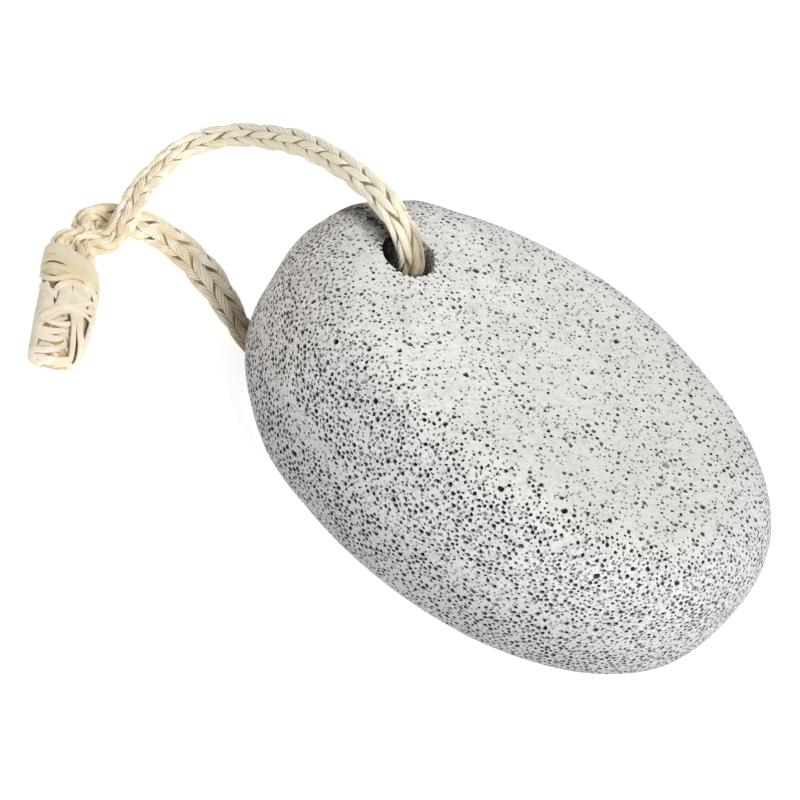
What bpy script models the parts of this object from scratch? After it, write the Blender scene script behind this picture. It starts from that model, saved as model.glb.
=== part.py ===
"""Pumice foot stone on a braided cord, lying flat on its underside.

Metres, +Z up. The origin is at the middle of the stone's underside. +X runs along the stone, away from
the cord hole. The camera of the reference view stands at -Y.
"""
import math
import random

import bmesh
import bpy
from mathutils import Vector

MM = 0.001

# Stone form
STONE_LENGTH = 100.0 * MM
STONE_WIDTH = 66.0 * MM
FULL_HALF_HEIGHT = 23.6 * MM      # of the rounded form before its two faces are worn flat
TOP_ABOVE_MIDDLE = 20.4 * MM
UNDERSIDE_BELOW_MIDDLE = 19.5 * MM
TOP_SLOPE = 0.037                 # the top face rises towards the cord hole
SIDE_SQUARENESS = 3.4             # 2 is an ellipse, more is boxier
EDGE_SOFTNESS = 2.2 * MM          # how far the flat faces blend into the sides

# Pores large enough to shape the solid
SITE_SPACING = 4.05 * MM
SITE_TRIES = 26000
PIT_RADII = (0.70 * MM, 0.90 * MM, 1.15 * MM)
PIT_DEPTH_TO_RADIUS = 1.5
FACE_PIT_SHARE = 0.30             # share of the sites on the two flat faces that are pits
FLAT_FACE_NORMAL = 0.98           # steeper than this and a place is on the sides
UNDERSIDE_BARE_RADIUS = 13.0 * MM
HOLE_BARE_MARGIN = 3.2 * MM
SEED = 11

# Cord hole
HOLE_X = -31.8 * MM
HOLE_DIAMETER = 9.8 * MM
HOLE_SIDES = 20
HOLE_OVERSHOOT = 6.0 * MM
CHANNEL_RADIUS = 2.8 * MM         # the worn channel that the cord lies in
CHANNEL_SIDES = 12

# Cord
CORD_DIAMETER = 4.4 * MM
CORD_SEGMENT = 0.75               # in diameters
SPLINE_STEPS = 24
GAP = 0.3 * MM
GAP_AT_THE_LEGS = 0.5 * MM        # their ends stand a little aslant to the binding

# The cord's route in millimetres: from the binding over the stone's end, down the hole, out under the
# stone and back along the surface to the binding.
LEG_OVER_THE_STONE = (
    (-79.8, -5.2, 5.0),
    (-79.3, -1.4, 6.7),
    (-79.9, 3.2, 7.3),
    (-81.0, 9.1, 6.6),
    (-81.7, 15.0, 5.7),
    (-81.7, 20.2, 5.2),
    (-80.8, 24.8, 6.4),
    (-78.0, 27.4, 9.8),
    (-73.7, 27.8, 14.8),
    (-67.9, 25.2, 21.0),
    (-61.4, 20.6, 27.9),
    (-53.1, 14.1, 35.7),
    (-45.7, 8.0, 41.2),
    (-39.4, 3.2, 43.9),
    (-34.0, 0.6, 43.1),
    (-30.8, 0.0, 39.8),
    (-29.7, 0.0, 35.2),
)
LEG_IN_THE_HOLE = (
    (-29.7, 0.0, 29.0),
    (-29.7, 0.0, 20.0),
    (-29.9, 0.0, 13.0),
)
LEG_UNDER_THE_STONE = (
    (-31.2, -0.2, 7.4),
    (-34.6, -0.7, 3.8),
    (-39.4, -1.5, 2.5),
    (-45.2, -2.2, 2.35),
    (-51.2, -0.4, 2.35),
    (-57.0, 2.7, 2.35),
    (-63.0, 5.2, 2.35),
    (-69.0, 6.4, 2.35),
    (-75.0, 5.8, 2.35),
    (-79.8, 3.9, 2.35),
    (-82.9, 0.6, 2.35),
    (-84.5, -3.4, 2.35),
    (-85.2, -7.4, 2.4),
)

# Binding and frayed ends
BINDING_TOP = (-81.75, -11.7, 3.05)      # millimetres, the middle between the two legs
BINDING_DIRECTION = (0.50, -0.866, 0.0)
LEG_FROM_MIDDLE = 2.3                     # millimetres, each leg's offset in the binding
LEG_RISE = 0.5                            # millimetres, the leg from over the stone lies this much higher
STRAIGHT_BEFORE_BINDING = 2.4             # millimetres
BINDING_LENGTH = 9.0 * MM
BINDING_HALF_WIDTH = 5.0 * MM
BINDING_HALF_HEIGHT = 2.85 * MM
BINDING_TURNS = 7
TURN_RELIEF = 0.35 * MM
BINDING_SIDES = 18
OVAL_FULLNESS = 0.82                      # 1 is an ellipse, less has fuller sides
ENDS_LENGTH = 15.6 * MM
ENDS_DRIFT = 2.4 * MM                     # the ends lean this far out of the binding's line
ENDS_WIDTH = (1.00, 0.34, 0.68)           # of the binding's: at the start, its swelling, its tapering
ENDS_HEIGHT = (0.90, 0.10, 0.40)
ENDS_SIDES = 28
ENDS_RINGS = 12
ENDS_LOCKS = 9
LOCK_RELIEF = 0.13
LOCK_TWIST = 0.9
DENT_DEPTH = 1.5 * MM                     # of the hollow between the frayed strands
DENT_MIDDLE = 0.62
DENT_LENGTH = 0.22
DENT_WIDTH = 0.45

STONE_COLOUR = (0.70, 0.69, 0.69)
CORD_COLOUR = (0.76, 0.67, 0.49)
BINDING_COLOUR = (0.80, 0.73, 0.56)
ENDS_COLOUR = (0.78, 0.70, 0.52)


def clear_scene():
    for thing in list(bpy.data.objects):
        bpy.data.objects.remove(thing, do_unlink=True)


def material(name, colour, roughness):
    finish = bpy.data.materials.new(name)
    finish.use_nodes = True
    shader = finish.node_tree.nodes["Principled BSDF"]
    shader.inputs["Base Color"].default_value = (*colour, 1.0)
    shader.inputs["Roughness"].default_value = roughness
    shader.inputs["Metallic"].default_value = 0.0
    return finish


def object_from(name, bm, finish):
    mesh = bpy.data.meshes.new(name)
    bm.to_mesh(mesh)
    bm.free()
    mesh.materials.append(finish)
    made = bpy.data.objects.new(name, mesh)
    bpy.context.scene.collection.objects.link(made)
    return made


# Stone

def soft_lower(a, b):
    """The lower of two heights, with the corner between them rounded."""
    overlap = max(EDGE_SOFTNESS - abs(a - b), 0.0) / EDGE_SOFTNESS
    return min(a, b) - overlap * overlap * EDGE_SOFTNESS / 4.0


def stone_point(direction):
    """Where a direction of the unit sphere lies on the stone."""
    power = 2.0 / SIDE_SQUARENESS
    reach = math.hypot(direction.x, direction.y)
    plan = reach ** power
    rise = math.copysign(abs(direction.z) ** power, direction.z)
    x = 0.0
    y = 0.0
    if reach > 0.0:
        x = STONE_LENGTH / 2.0 * plan * direction.x / reach
        y = STONE_WIDTH / 2.0 * plan * direction.y / reach
    z = FULL_HALF_HEIGHT * rise
    if z > 0.0:
        z = soft_lower(z, TOP_ABOVE_MIDDLE - TOP_SLOPE * x)
    else:
        z = -soft_lower(-z, UNDERSIDE_BELOW_MIDDLE)
    return Vector((x, y, z + UNDERSIDE_BELOW_MIDDLE))


def random_direction(dice):
    """A direction, picked so that both the sides and the flat faces get their share."""
    turn = dice.uniform(0.0, math.tau)
    if dice.random() < 0.5:
        up = dice.uniform(-1.0, 1.0)
        reach = math.sqrt(1.0 - up * up)
    else:
        reach = math.sqrt(dice.random()) ** (SIDE_SQUARENESS / 2.0)
        up = math.copysign(math.sqrt(1.0 - reach * reach), dice.uniform(-1.0, 1.0))
    return Vector((reach * math.cos(turn), reach * math.sin(turn), up))


def spread_sites(dice):
    """Directions whose places on the stone keep their distance from each other."""
    cells = {}
    sites = []
    for _ in range(SITE_TRIES):
        direction = random_direction(dice)
        place = stone_point(direction)
        cell = tuple(math.floor(value / SITE_SPACING) for value in place)
        near = (
            other
            for dx in (-1, 0, 1)
            for dy in (-1, 0, 1)
            for dz in (-1, 0, 1)
            for other in cells.get((cell[0] + dx, cell[1] + dy, cell[2] + dz), ())
        )
        if all((place - other).length >= SITE_SPACING for other in near):
            cells.setdefault(cell, []).append(place)
            sites.append(direction)
    return sites


def stone_shell(sites):
    """A closed triangle mesh through the sites, joined on a ball and then moved to the stone's form."""
    bm = bmesh.new()
    for direction in sites:
        bm.verts.new(direction)
    bmesh.ops.convex_hull(bm, input=bm.verts)
    for vert in bm.verts:
        vert.co = stone_point(vert.co.normalized())
    bmesh.ops.beautify_fill(bm, faces=bm.faces, edges=bm.edges, method="ANGLE")
    bmesh.ops.recalc_face_normals(bm, faces=bm.faces)
    return bm


def near_the_hole(place):
    across = math.hypot(place.x - HOLE_X, place.y)
    behind = place.x < HOLE_X and abs(place.y) < HOLE_DIAMETER
    return across < HOLE_DIAMETER / 2.0 + HOLE_BARE_MARGIN or behind


def wants_a_pit(vert, dice):
    flat = abs(vert.normal.z) > FLAT_FACE_NORMAL
    if near_the_hole(vert.co):
        return False
    if flat and vert.co.z < UNDERSIDE_BELOW_MIDDLE and vert.co.length < UNDERSIDE_BARE_RADIUS:
        return False
    return not flat or dice.random() < FACE_PIT_SHARE


def sink_pits(bm, dice):
    """Cuts the chosen corners off flat and sinks the middle of each cut."""
    bm.normal_update()
    chosen = [vert for vert in bm.verts if wants_a_pit(vert, dice)]
    groups = {radius: [] for radius in PIT_RADII}
    for vert in chosen:
        groups[dice.choice(PIT_RADII)].append(vert)
    rims = []
    for radius, corners in groups.items():
        cut = bmesh.ops.bevel(
            bm, geom=corners, affect="VERTICES", offset=radius, offset_type="OFFSET",
            segments=1, profile=0.5, clamp_overlap=True,
        )
        corner_faces = set(cut["faces"])
        rims.extend((face, radius) for face in corner_faces)
    for face, radius in rims:
        inward = -face.normal.copy()
        middle = bmesh.ops.poke(bm, faces=[face])["verts"][0]
        middle.co += inward * radius * PIT_DEPTH_TO_RADIUS


# Curves

def binding_axes():
    """Along the binding, across it towards the outer leg, and up."""
    along = Vector(BINDING_DIRECTION).normalized()
    up = Vector((0.0, 0.0, 1.0))
    return along, along.cross(up), up


def leg_end(side):
    """The last two points of a leg, where it runs straight into the binding, in millimetres."""
    along, across, up = binding_axes()
    end = Vector(BINDING_TOP) + (across * LEG_FROM_MIDDLE - up * LEG_RISE) * side
    return (end - along * STRAIGHT_BEFORE_BINDING, end)


def route_points(*legs):
    """A smooth curve through the hand-placed points."""
    marks = [Vector(point) * MM for leg in legs for point in leg]
    marks = [2.0 * marks[0] - marks[1], *marks, 2.0 * marks[-1] - marks[-2]]
    dense = []
    for a, b, c, d in zip(marks, marks[1:], marks[2:], marks[3:]):
        for step in range(SPLINE_STEPS):
            t = step / SPLINE_STEPS
            dense.append(0.5 * (
                2.0 * b + (c - a) * t + (2.0 * a - 5.0 * b + 4.0 * c - d) * t ** 2
                + (3.0 * b - a - 3.0 * c + d) * t ** 3
            ))
    dense.append(marks[-2])
    return dense


def even_points(dense, spacing):
    """The same curve with its points a constant distance apart."""
    lengths = [0.0]
    for a, b in zip(dense, dense[1:]):
        lengths.append(lengths[-1] + (b - a).length)
    count = max(round(lengths[-1] / spacing), 2)
    points = []
    index = 0
    for step in range(count + 1):
        want = lengths[-1] * step / count
        while index < len(dense) - 2 and lengths[index + 1] < want:
            index += 1
        share = (want - lengths[index]) / (lengths[index + 1] - lengths[index])
        points.append(dense[index].lerp(dense[index + 1], min(share, 1.0)))
    return points


def tube(name, points, radius, resolution, finish):
    curve = bpy.data.curves.new(name, "CURVE")
    curve.dimensions = "3D"
    curve.bevel_depth = radius
    curve.bevel_resolution = resolution
    curve.use_fill_caps = True
    spline = curve.splines.new("POLY")
    spline.points.add(len(points) - 1)
    for target, point in zip(spline.points, points):
        target.co = (*point, 1.0)
    curve.materials.append(finish)
    made = bpy.data.objects.new(name, curve)
    bpy.context.scene.collection.objects.link(made)
    return made


# Hole

def loft(rings):
    """A closed solid through rings of equal corner count."""
    bm = bmesh.new()
    rows = [[bm.verts.new(point) for point in ring] for ring in rings]
    for low, high in zip(rows, rows[1:]):
        for index, corner in enumerate(low):
            following = (index + 1) % len(low)
            bm.faces.new((corner, low[following], high[following], high[index]))
    bm.faces.new(reversed(rows[0]))
    bm.faces.new(rows[-1])
    bmesh.ops.recalc_face_normals(bm, faces=bm.faces)
    return bm


def hide_cutter(cutter):
    cutter.hide_render = True
    cutter.display_type = "WIRE"


def hole_cutter(finish):
    height = TOP_ABOVE_MIDDLE + UNDERSIDE_BELOW_MIDDLE + 2.0 * HOLE_OVERSHOOT
    bm = bmesh.new()
    bmesh.ops.create_cone(
        bm, cap_ends=True, segments=HOLE_SIDES, radius1=HOLE_DIAMETER / 2.0,
        radius2=HOLE_DIAMETER / 2.0, depth=height,
    )
    cutter = object_from("hole_cutter", bm, finish)
    cutter.location = (HOLE_X, 0.0, height / 2.0 - HOLE_OVERSHOOT)
    hide_cutter(cutter)
    return cutter


def channel_cutter(name, points, finish):
    """A fat closed tube round part of the cord's route."""
    rings = []
    side = Vector((0.0, 1.0, 0.0))
    for before, point, after in zip([points[0], *points], points, [*points[1:], points[-1]]):
        along = (after - before).normalized()
        side = (side - along * side.dot(along)).normalized()
        other = along.cross(side)
        ring = []
        for corner in range(CHANNEL_SIDES):
            angle = math.tau * corner / CHANNEL_SIDES
            ring.append(point + (side * math.cos(angle) + other * math.sin(angle)) * CHANNEL_RADIUS)
        rings.append(ring)
    cutter = object_from(name, loft(rings), finish)
    hide_cutter(cutter)
    return cutter


def cut_away(target, cutter):
    cut = target.modifiers.new(cutter.name, "BOOLEAN")
    cut.operation = "DIFFERENCE"
    cut.solver = "EXACT"
    cut.object = cutter


def make_stone(finish):
    dice = random.Random(SEED)
    bm = stone_shell(spread_sites(dice))
    sink_pits(bm, dice)
    stone = object_from("pumice_stone", bm, finish)
    cut_away(stone, hole_cutter(finish))
    over = route_points(LEG_OVER_THE_STONE[-6:], LEG_IN_THE_HOLE[:1])
    under = route_points(LEG_IN_THE_HOLE[-1:], LEG_UNDER_THE_STONE[:5])
    for name, dense in (("top_channel_cutter", over), ("under_channel_cutter", under)):
        cut_away(stone, channel_cutter(name, even_points(dense, CORD_DIAMETER * CORD_SEGMENT), finish))
    return stone


def make_cord(finish):
    first = reversed(leg_end(-1.0))
    last = leg_end(1.0)
    whole = route_points(first, LEG_OVER_THE_STONE, LEG_IN_THE_HOLE, LEG_UNDER_THE_STONE, last)
    points = even_points(whole, CORD_DIAMETER * CORD_SEGMENT)
    return tube("hanging_cord", points, CORD_DIAMETER / 2.0, 2, finish)


# Binding and ends

def oval(angle, half_width, half_height):
    """A point of an oval with fuller sides than an ellipse."""
    across = math.copysign(abs(math.cos(angle)) ** OVAL_FULLNESS, math.cos(angle))
    upward = math.copysign(abs(math.sin(angle)) ** OVAL_FULLNESS, math.sin(angle))
    return half_width * across, half_height * upward


def make_binding(finish):
    along, across, up = binding_axes()
    start = Vector(BINDING_TOP) * MM + along * GAP_AT_THE_LEGS
    rings = []
    steps = BINDING_TURNS * 2
    for step in range(steps + 1):
        share = step / steps
        groove = TURN_RELIEF if step % 2 == 0 else 0.0
        ring = []
        for side in range(BINDING_SIDES):
            angle = math.tau * side / BINDING_SIDES
            x, z = oval(angle, BINDING_HALF_WIDTH - groove, BINDING_HALF_HEIGHT - groove)
            ring.append(start + along * BINDING_LENGTH * share + across * x + up * z)
        rings.append(ring)
    return object_from("cord_binding", loft(rings), finish)


def swell_and_taper(sizes, share):
    """Grows a little from the start and then tapers towards the tip."""
    start, swelling, tapering = sizes
    return start + swelling * share - tapering * share ** 3


def make_frayed_ends(finish):
    along, across, up = binding_axes()
    start = Vector(BINDING_TOP) * MM + along * (GAP_AT_THE_LEGS + BINDING_LENGTH + GAP)
    rings = []
    for step in range(ENDS_RINGS + 1):
        share = step / ENDS_RINGS
        middle = start + along * ENDS_LENGTH * share + across * ENDS_DRIFT * share
        width = BINDING_HALF_WIDTH * swell_and_taper(ENDS_WIDTH, share)
        height = BINDING_HALF_HEIGHT * swell_and_taper(ENDS_HEIGHT, share)
        ring = []
        for side in range(ENDS_SIDES):
            angle = math.tau * side / ENDS_SIDES
            twisted = ENDS_LOCKS * angle + LOCK_TWIST * math.tau * share
            lock = 1.0 - LOCK_RELIEF * (1.0 + math.cos(twisted)) / 2.0
            x, z = oval(angle, width * lock, height * lock)
            if z > 0.0:
                from_middle = ((share - DENT_MIDDLE) / DENT_LENGTH) ** 2 + (x / (DENT_WIDTH * width)) ** 2
                z -= DENT_DEPTH * math.exp(-from_middle)
            ring.append(middle + across * x + up * z)
        rings.append(ring)
    return object_from("frayed_cord_ends", loft(rings), finish)


def build():
    clear_scene()
    make_stone(material("pumice", STONE_COLOUR, 0.95))
    make_cord(material("braided_cotton", CORD_COLOUR, 0.85))
    make_binding(material("wound_yarn", BINDING_COLOUR, 0.85))
    make_frayed_ends(material("frayed_cotton", ENDS_COLOUR, 0.90))


build()
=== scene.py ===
"""Looks of the pumice foot stone on its braided cotton cord, lying on a pale table."""
import math
import random

import bmesh
import bpy
import numpy as np
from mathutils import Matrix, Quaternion, Vector, kdtree, noise


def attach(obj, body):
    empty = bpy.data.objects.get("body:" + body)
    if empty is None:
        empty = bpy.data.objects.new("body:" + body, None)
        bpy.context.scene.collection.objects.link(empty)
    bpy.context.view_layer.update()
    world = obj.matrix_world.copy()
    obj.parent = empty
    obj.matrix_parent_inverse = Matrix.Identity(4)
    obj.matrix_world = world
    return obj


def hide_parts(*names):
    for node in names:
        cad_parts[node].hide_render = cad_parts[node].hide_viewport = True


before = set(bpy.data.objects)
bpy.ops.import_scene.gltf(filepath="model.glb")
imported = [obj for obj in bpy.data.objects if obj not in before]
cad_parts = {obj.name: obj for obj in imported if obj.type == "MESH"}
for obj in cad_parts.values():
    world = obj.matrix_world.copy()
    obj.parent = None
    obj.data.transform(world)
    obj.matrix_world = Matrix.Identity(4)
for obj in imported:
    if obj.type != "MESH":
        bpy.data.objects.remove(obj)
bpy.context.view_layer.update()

MM = 0.001

# Camera, in millimetres and degrees
CAMERA_PLACE = (3.88, -322.20, 334.24)
CAMERA_AIM = (-18.62, -8.27, 19.5)
CAMERA_ROLL = 33.8
CAMERA_LENS = 115.1
CAMERA_SENSOR = 36.0

# Stone form, as in the solid
STONE_LENGTH = 100.0 * MM
STONE_WIDTH = 66.0 * MM
FULL_HALF_HEIGHT = 23.6 * MM      # of the rounded form before its two faces are worn flat
TOP_ABOVE_MIDDLE = 20.4 * MM
UNDERSIDE_BELOW_MIDDLE = 19.5 * MM
TOP_SLOPE = 0.037                 # the top face rises towards the cord hole
SIDE_SQUARENESS = 3.4             # 2 is an ellipse, more is boxier
EDGE_SOFTNESS = 2.2 * MM          # how far the flat faces blend into the sides
SIDE_UNEVENNESS = 0.35 * MM       # slow rise and fall of the sides
UNEVEN_EVERY = 13.0 * MM

# Where the stone stands out a little more: place, reach and height, in millimetres
SWELLS = (
    ((-44.9, 9.9, 33.4), 8.0, 0.7),
    ((-37.3, 16.9, 35.8), 9.0, 0.75),
    ((3.0, 27.9, 37.8), 18.0, 0.35),
    ((-31.0, -22.5, 3.9), 12.0, 0.5),
)

# Pores
SIDE_SITE_REACH = 0.40 * MM       # half the least distance between two ordinary sites
FACE_SITE_REACH = 0.50 * MM
FLAT_FROM = 0.82                  # directions steeper than this lie on the flat faces
SITE_CANDIDATES = 150000
BIG_PORE_CANDIDATES = 230
BIG_PORE_RADIUS = (0.43 * MM, 0.74 * MM)
SMALL_PORE_RADIUS = (0.20 * MM, 0.46 * MM)
BIG_PORE_SKEW = 2.6               # the higher, the more of them are near the small end
SMALL_PORE_SKEW = 1.25
SHOULDER_FROM = 0.80              # how level the surface is where the sides pass into the worn faces
SHOULDER_SPAN = 0.18
# Pores' size by how level the surface is: largest on the sides and least on the shoulder
LEVEL_AT = (0.0, 0.25, 0.5, 0.7, 0.95)
PORE_SIZE = (1.12, 1.04, 0.88, 0.84, 0.92)
CONE_PORE_BELOW = 0.37 * MM       # the smallest end in a point
PORE_MARGIN = 0.25 * MM           # solid stone kept round a big pore
SIDE_PORE_SHARE = 0.93            # of the sites on the sides
FACE_PORE_SHARE = 0.41            # of the sites on the two worn faces
BIG_PORE_SHARES = (0.75, 0.5, 0.35)   # on the sides, the shoulder and the worn faces
LAND_BETWEEN_PORES = 0.11 * MM
RIM_WOBBLE = 0.20                 # how unevenly a pore's rim runs
PORE_STRETCH = 0.35               # pores are this much longer than wide, on the sides each its own way
LAND_ROUGHNESS = 0.08 * MM
LAND_ROUGH_EVERY = 0.9 * MM
STRETCH_DIRECTION = (0.675, 0.738, 0.0)   # of the pores and rubbing marks on the worn faces
RUBBING_SIZE = (3.2 * MM, 0.5 * MM, 0.8 * MM)
DEEP_PORE_SHARE = 0.66
DEEP_PORE_DEPTH = (1.15, 1.6)     # as a share of the radius
SHALLOW_PORE_DEPTH = (0.4, 0.85)
LOW_PORES_DARKER = 0.7            # the pores' painted shade is deeper towards the table
LOW_BELOW = 30.0 * MM
SEED = 7

# Cord hole
HOLE_X = -31.8 * MM
HOLE_RADIUS = 4.9 * MM
HOLE_OVERSHOOT = 6.0 * MM
HOLE_WOBBLE = 0.22 * MM
HOLE_WALL_PORE_SPACING = 1.15 * MM
HOLE_WALL_PORE_RADIUS = (0.28 * MM, 0.5 * MM)
HOLE_TOP = 41.0 * MM
HOLE_DARK_BY = 7.0 * MM           # painted shade: the wall gets darker down to this depth
# Painted shade on the walls of the channels that the cord lies in
CHANNEL_DARK = 0.12
# Painted shadow of the cord where it runs over the stone's end: its line in millimetres, reach and darkness
CORD_SHADOW_LINE = (
    (-47.0, 8.6, 32.5), (-45.0, 7.4, 35.0), (-42.5, 5.8, 37.2), (-40.0, 3.4, 38.9), (-37.4, 1.2, 39.8),
)
CORD_SHADOW_REACH = 4.4 * MM
CORD_SHADOW_DARK = 0.95
CHANNEL_RADIUS = 2.75 * MM        # the worn channel that the cord lies in

# Cord
SPLINE_STEPS = 24
CORE_SIDES = 14
BRAID_RING_SPACING = 0.60 * MM

# The cord's route in millimetres: from the binding over the stone's end, down the hole, out under the
# stone and back along the surface to the binding.
LEG_OVER_THE_STONE = (
    (-78.4, -5.1, 4.9),
    (-78.8, -1.0, 6.6),
    (-79.8, 3.2, 7.1),
    (-81.1, 9.0, 6.6),
    (-81.6, 15.0, 5.6),
    (-81.7, 20.2, 5.2),
    (-80.9, 24.8, 6.4),
    (-77.9, 27.3, 9.7),
    (-73.5, 27.6, 14.5),
    (-67.8, 25.0, 20.7),
    (-61.4, 20.6, 27.9),
    (-53.1, 13.9, 35.5),
    (-45.7, 7.8, 41.0),
    (-39.4, 3.2, 43.9),
    (-34.0, 0.6, 43.1),
    (-30.8, 0.0, 39.8),
    (-29.7, 0.0, 35.2),
)
LEG_IN_THE_HOLE = (
    (-29.7, 0.0, 29.0),
    (-29.7, 0.0, 20.0),
    (-29.9, 0.0, 13.0),
)
LEG_UNDER_THE_STONE = (
    (-31.2, -0.2, 7.4),
    (-34.6, -0.7, 3.8),
    (-39.4, -1.5, 2.5),
    (-45.2, -2.2, 2.35),
    (-51.2, -0.4, 2.35),
    (-57.0, 2.7, 2.35),
    (-63.0, 5.2, 2.35),
    (-69.0, 6.4, 2.35),
    (-75.0, 5.8, 2.35),
    (-79.5, 3.5, 2.35),
    (-82.7, 0.9, 2.35),
    (-84.1, -2.3, 2.35),
    (-82.8, -6.4, 2.4),
)

# The braid: eight strands of parallel yarns, laid loosely, so its width and stitch change on the way
STRAND_YARNS = 5
YARN_STEPS = 4
YARN_GROOVE = 0.65                # how deep the lines between yarns are, as a share of their height
STRAND_SHARES = (1.02, 0.94)      # strands of one turn lie flatter and wider than those of the other
STRAND_CROWN = 0.45               # how much lower a strand's edges are than its middle
CORE_SHARE = 0.70                 # the filling inside, as a share of the cord's width
STRAND_THICKNESS = 1.05 * MM
STRAIGHTENING = 0.11              # strands run more along the cord where they lie on top
COLUMN_STEEPNESS = 1.7            # how quickly a strand dives at the edge of its column
ROUTE_SAMPLES = 1200
WANDER_EVERY = 7.0 * MM           # along the route, a strand widens and shifts by chance over this length
WIDTH_WANDER = 0.10
TURN_WANDER = 0.05
STRAND_ABOVE_TABLE = 0.05 * MM
CORE_ABOVE_TABLE = 0.10 * MM
LAYER_LIFT = 0.42                 # painted shade: how much paler the upper layer of strands is, and the top of a yarn, than the parts in shade
YARN_LIFT = 0.55
LEAST_LIFT = 0.03
CORD_SHADE_SKEW = 3.0 * MM             # painted shade reaches further up the side that lies nearer the stone

# Tables whose rows start with millimetres along the route
YARN_LINES = ((84.0, 1.0), (100.0, 0.4), (116.0, 0.4), (130.0, 1.0))    # where the lines fade
STITCH_LENGTHS = (
    (0.0, 6.6), (24.0, 7.0), (40.0, 8.4), (105.0, 8.2), (130.0, 7.4), (155.0, 7.4), (225.0, 7.0),
)
# In degrees; 0 turns a column to the viewer
COLUMN_TURNS = ((0.0, -45.0), (100.0, -45.0), (118.0, -22.5), (155.0, 0.0), (225.0, 0.0))
# The cord's width, its strands' width, and its height as a share of the width
CORD_SHAPE = (
    (0.0, 5.3, 2.5, 1.0), (8.0, 4.6, 2.6, 1.0), (20.0, 5.0, 2.9, 1.0), (30.0, 4.4, 2.7, 1.0),
    (42.0, 4.6, 2.7, 1.0), (54.0, 4.6, 2.8, 1.0), (70.0, 5.0, 3.0, 1.0), (90.0, 4.9, 2.9, 1.0),
    (105.0, 4.9, 2.8, 1.0), (150.0, 4.6, 2.5, 0.95), (162.0, 5.1, 2.8, 0.85), (174.0, 5.1, 3.0, 0.80),
    (184.0, 7.1, 3.4, 0.70), (197.0, 6.7, 3.4, 0.70), (207.0, 6.2, 3.0, 0.80), (216.0, 5.4, 2.7, 0.95),
    (225.0, 4.2, 2.4, 0.95),
)
# Painted shade on the cord, greyer in the hole and by the stone where the stone shades it; 1 is none
CORD_UNSHADED = (
    (0.0, 1.0), (104.0, 0.92), (110.0, 0.75), (117.0, 0.2), (160.0, 0.0), (168.0, 0.0), (171.5, 0.10),
    (177.0, 0.46), (184.0, 0.72), (192.0, 0.86), (205.0, 0.95), (225.0, 1.0),
)

# Light
WORLD_STRENGTH = 0.52
TABLE_GLOW = 0.74
KEY_POWER = 3.9
FILL_POWER = 1.0

# Binding and frayed ends, in millimetres and degrees. Marks are (t, angle, lift), see end_body
BINDING_TOP = (-81.75, -11.7, 3.05)       # the middle between the two legs
BINDING_DIRECTION = (0.50, -0.866, 0.0)
LEG_FROM_MIDDLE = 1.65                    # each leg's offset in the binding
LEG_RISE = 0.5                            # the leg from over the stone lies this much higher
STRAIGHT_BEFORE_BINDING = 2.4
LEG_INSIDE_BINDING = 4.5                  # how far the legs go on, out of sight
BINDING_HALF_WIDTH = 4.8
BINDING_HALF_HEIGHT = 2.85
OVAL_FULLNESS = 0.82
ENDS_START = 9.3
ENDS_LENGTH = 15.6
ENDS_DRIFT = 2.0
ENDS_LONGER = 1.5
BODY_SET_BACK = 0.5                       # where t is 0, measured from the top of the binding
STRAND_RING_SPACING = 0.45
END_NARROWS_OVER = 1.6                    # a strand's ends narrow over this length
SHIFT_EVERY = 3.1                         # and it strays sideways by chance over this one
HOLLOW_ENDS = 30
BACK_STRANDS = 12
BACK_FROM = 188.0
BACK_STEP = 15.5
TIP_START = 23.4
TIP_ROUND = 3.4
TIP_DEPTH = 1.6
# The winding: middle, tilt, bulge, width, lift, yarns, paleness, groove
WINDING_TURNS = (
    (7.9, 1.8, 0.0, 1.9, -0.10, 4, 0.0, 0.5),
    (3.4, 2.4, -0.2, 3.0, 0.10, 5, 0.15, 0.12),
    (6.6, 1.6, 0.2, 1.7, 0.22, 4, 0.0, 0.5),
    (5.4, 1.9, -0.3, 1.3, 0.30, 4, 0.1, 0.4),
)
BINDING_STRANDS = (
    (((5.6, -25, 0.1), (5.9, -8, 0.3), (8.0, 20, 0.4), (9.0, 50, 0.4), (8.5, 72, 0.45), (8.0, 88, 0.4),
      (7.9, 104, 0.4), (8.9, 120, 0.4), (10.5, 140, 0.3), (12.0, 165, 0.2)), 1.1, 3, 0.1),
    (((4.2, 95, 0.2), (4.8, 112, 0.35), (6.2, 130, 0.4), (7.8, 152, 0.4), (10.0, 172, 0.3),
      (12.5, 190, 0.1)), 1.5, 4, 0.1),
)
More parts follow.
